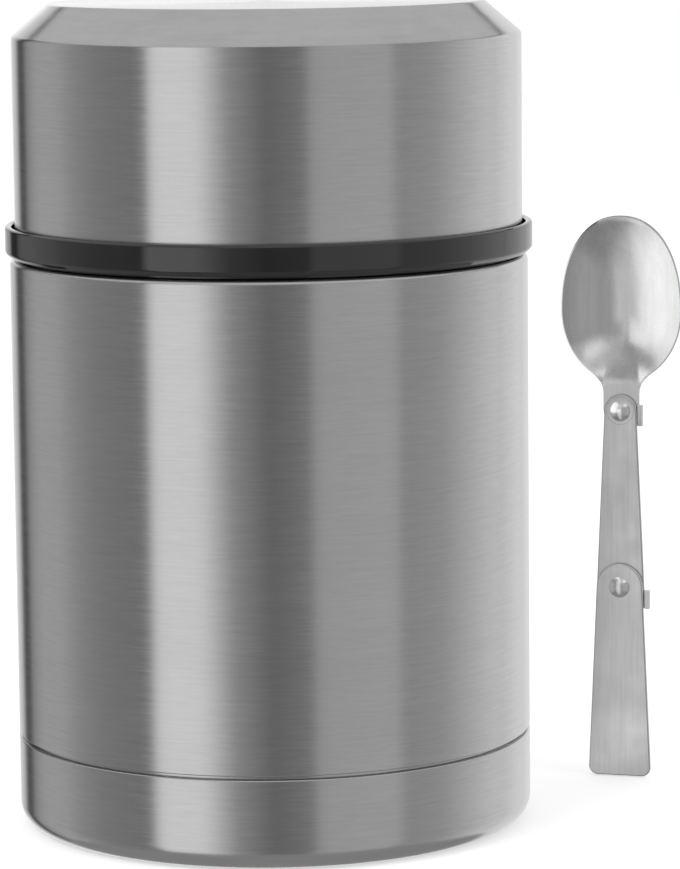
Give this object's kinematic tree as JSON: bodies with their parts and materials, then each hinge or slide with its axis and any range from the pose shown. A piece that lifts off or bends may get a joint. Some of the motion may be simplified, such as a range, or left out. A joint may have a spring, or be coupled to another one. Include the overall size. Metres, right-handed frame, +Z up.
{
  "type": "insulated food jar",
  "caption": "Double-walled steel food jar with a black collar ring, a screw-on cup lid, a vented screw stopper inside and a folding spoon beside it.",
  "frame": {"origin": "centre of the jar's foot, on the surface it stands on", "axes": "+Z up along the jar's axis; +X towards the folding spoon; +Y to the back, away from the face of the spoon's bowl"},
  "size_m": [0.1465, 0.112, 0.175],
  "materials": {
    "brushed_steel": "fine horizontal brushing",
    "inner_steel": "electropolished satin",
    "black_gloss": "glossy moulded",
    "dark_plastic": "fine moulded texture",
    "button_plastic": "fine moulded texture",
    "silicone": "matt translucent",
    "foam": "closed-cell foam",
    "spoon_steel": "polished bowl, satin links",
    "spring_steel": "bright drawn wire"
  },
  "bodies": {
    "jar": {"outer_shell": "brushed_steel", "inner_vessel": "inner_steel", "vessel_bottom": "inner_steel", "getter": "inner_steel", "vacuum_seal": "inner_steel", "base_cap": "brushed_steel", "collar_ring": "black_gloss", "collar_seal": "silicone"},
    "lid_core": {"lid_foam": "foam"},
    "lid": {"lid_shell": "brushed_steel", "lid_liner": "dark_plastic"},
    "stopper_core": {"stopper_foam": "foam"},
    "stopper": {"stopper_body": "dark_plastic", "stopper_base": "dark_plastic", "stopper_gasket": "silicone", "button_bezel": "inner_steel", "vent_spring": "spring_steel"},
    "vent": {"vent_button": "button_plastic", "vent_stem": "inner_steel", "vent_seal": "silicone", "stem_clip": "inner_steel"},
    "spoon_arm_link": {"spoon_arm": "spoon_steel", "bowl_rivet": "spoon_steel", "handle_rivet": "spoon_steel"},
    "spoon_bowl_link": {"spoon_bowl": "spoon_steel"},
    "spoon_handle_link": {"spoon_handle": "spoon_steel"}
  },
  "joints": [
    {"name": "lid_lift", "type": "slide", "parent": "jar", "child": "lid_core", "axis": [0, 0, 1], "range_m": [0, 0.22]},
    {"name": "lid_turn", "type": "hinge", "parent": "lid_core", "child": "lid", "pos_m": [0, 0, 0.15], "axis": [0, 0, 1], "range_deg": [0, 360]},
    {"name": "stopper_lift", "type": "slide", "parent": "jar", "child": "stopper_core", "axis": [0, 0, 1], "range_m": [0, 0.11]},
    {"name": "stopper_turn", "type": "hinge", "parent": "stopper_core", "child": "stopper", "pos_m": [0, 0, 0.13], "axis": [0, 0, 1], "range_deg": [0, 360]},
    {"name": "vent_press", "type": "slide", "parent": "stopper", "child": "vent", "axis": [0, 0, -1], "range_m": [0, 0.002], "stiffness_N_per_m": 400, "springref_m": -0.003, "deforming": ["vent_spring"]},
    {"name": "spoon_lift", "type": "slide", "parent": "jar", "child": "spoon_arm_link", "axis": [0, 0, 1], "range_m": [0, 0.18]},
    {"name": "bowl_fold", "type": "hinge", "parent": "spoon_arm_link", "child": "spoon_bowl_link", "pos_m": [0.0772, 0.035, 0.0823], "axis": [-0.2756, -0.9613, 0], "range_deg": [0, 180]},
    {"name": "handle_fold", "type": "hinge", "parent": "spoon_arm_link", "child": "spoon_handle_link", "pos_m": [0.0772, 0.035, 0.0428], "axis": [0.2756, 0.9613, 0], "range_deg": [0, 164]}
  ],
  "couplings": [
    {"joint": "stopper_lift", "follows": "lid_lift", "ratio": 0.5}
  ]
}
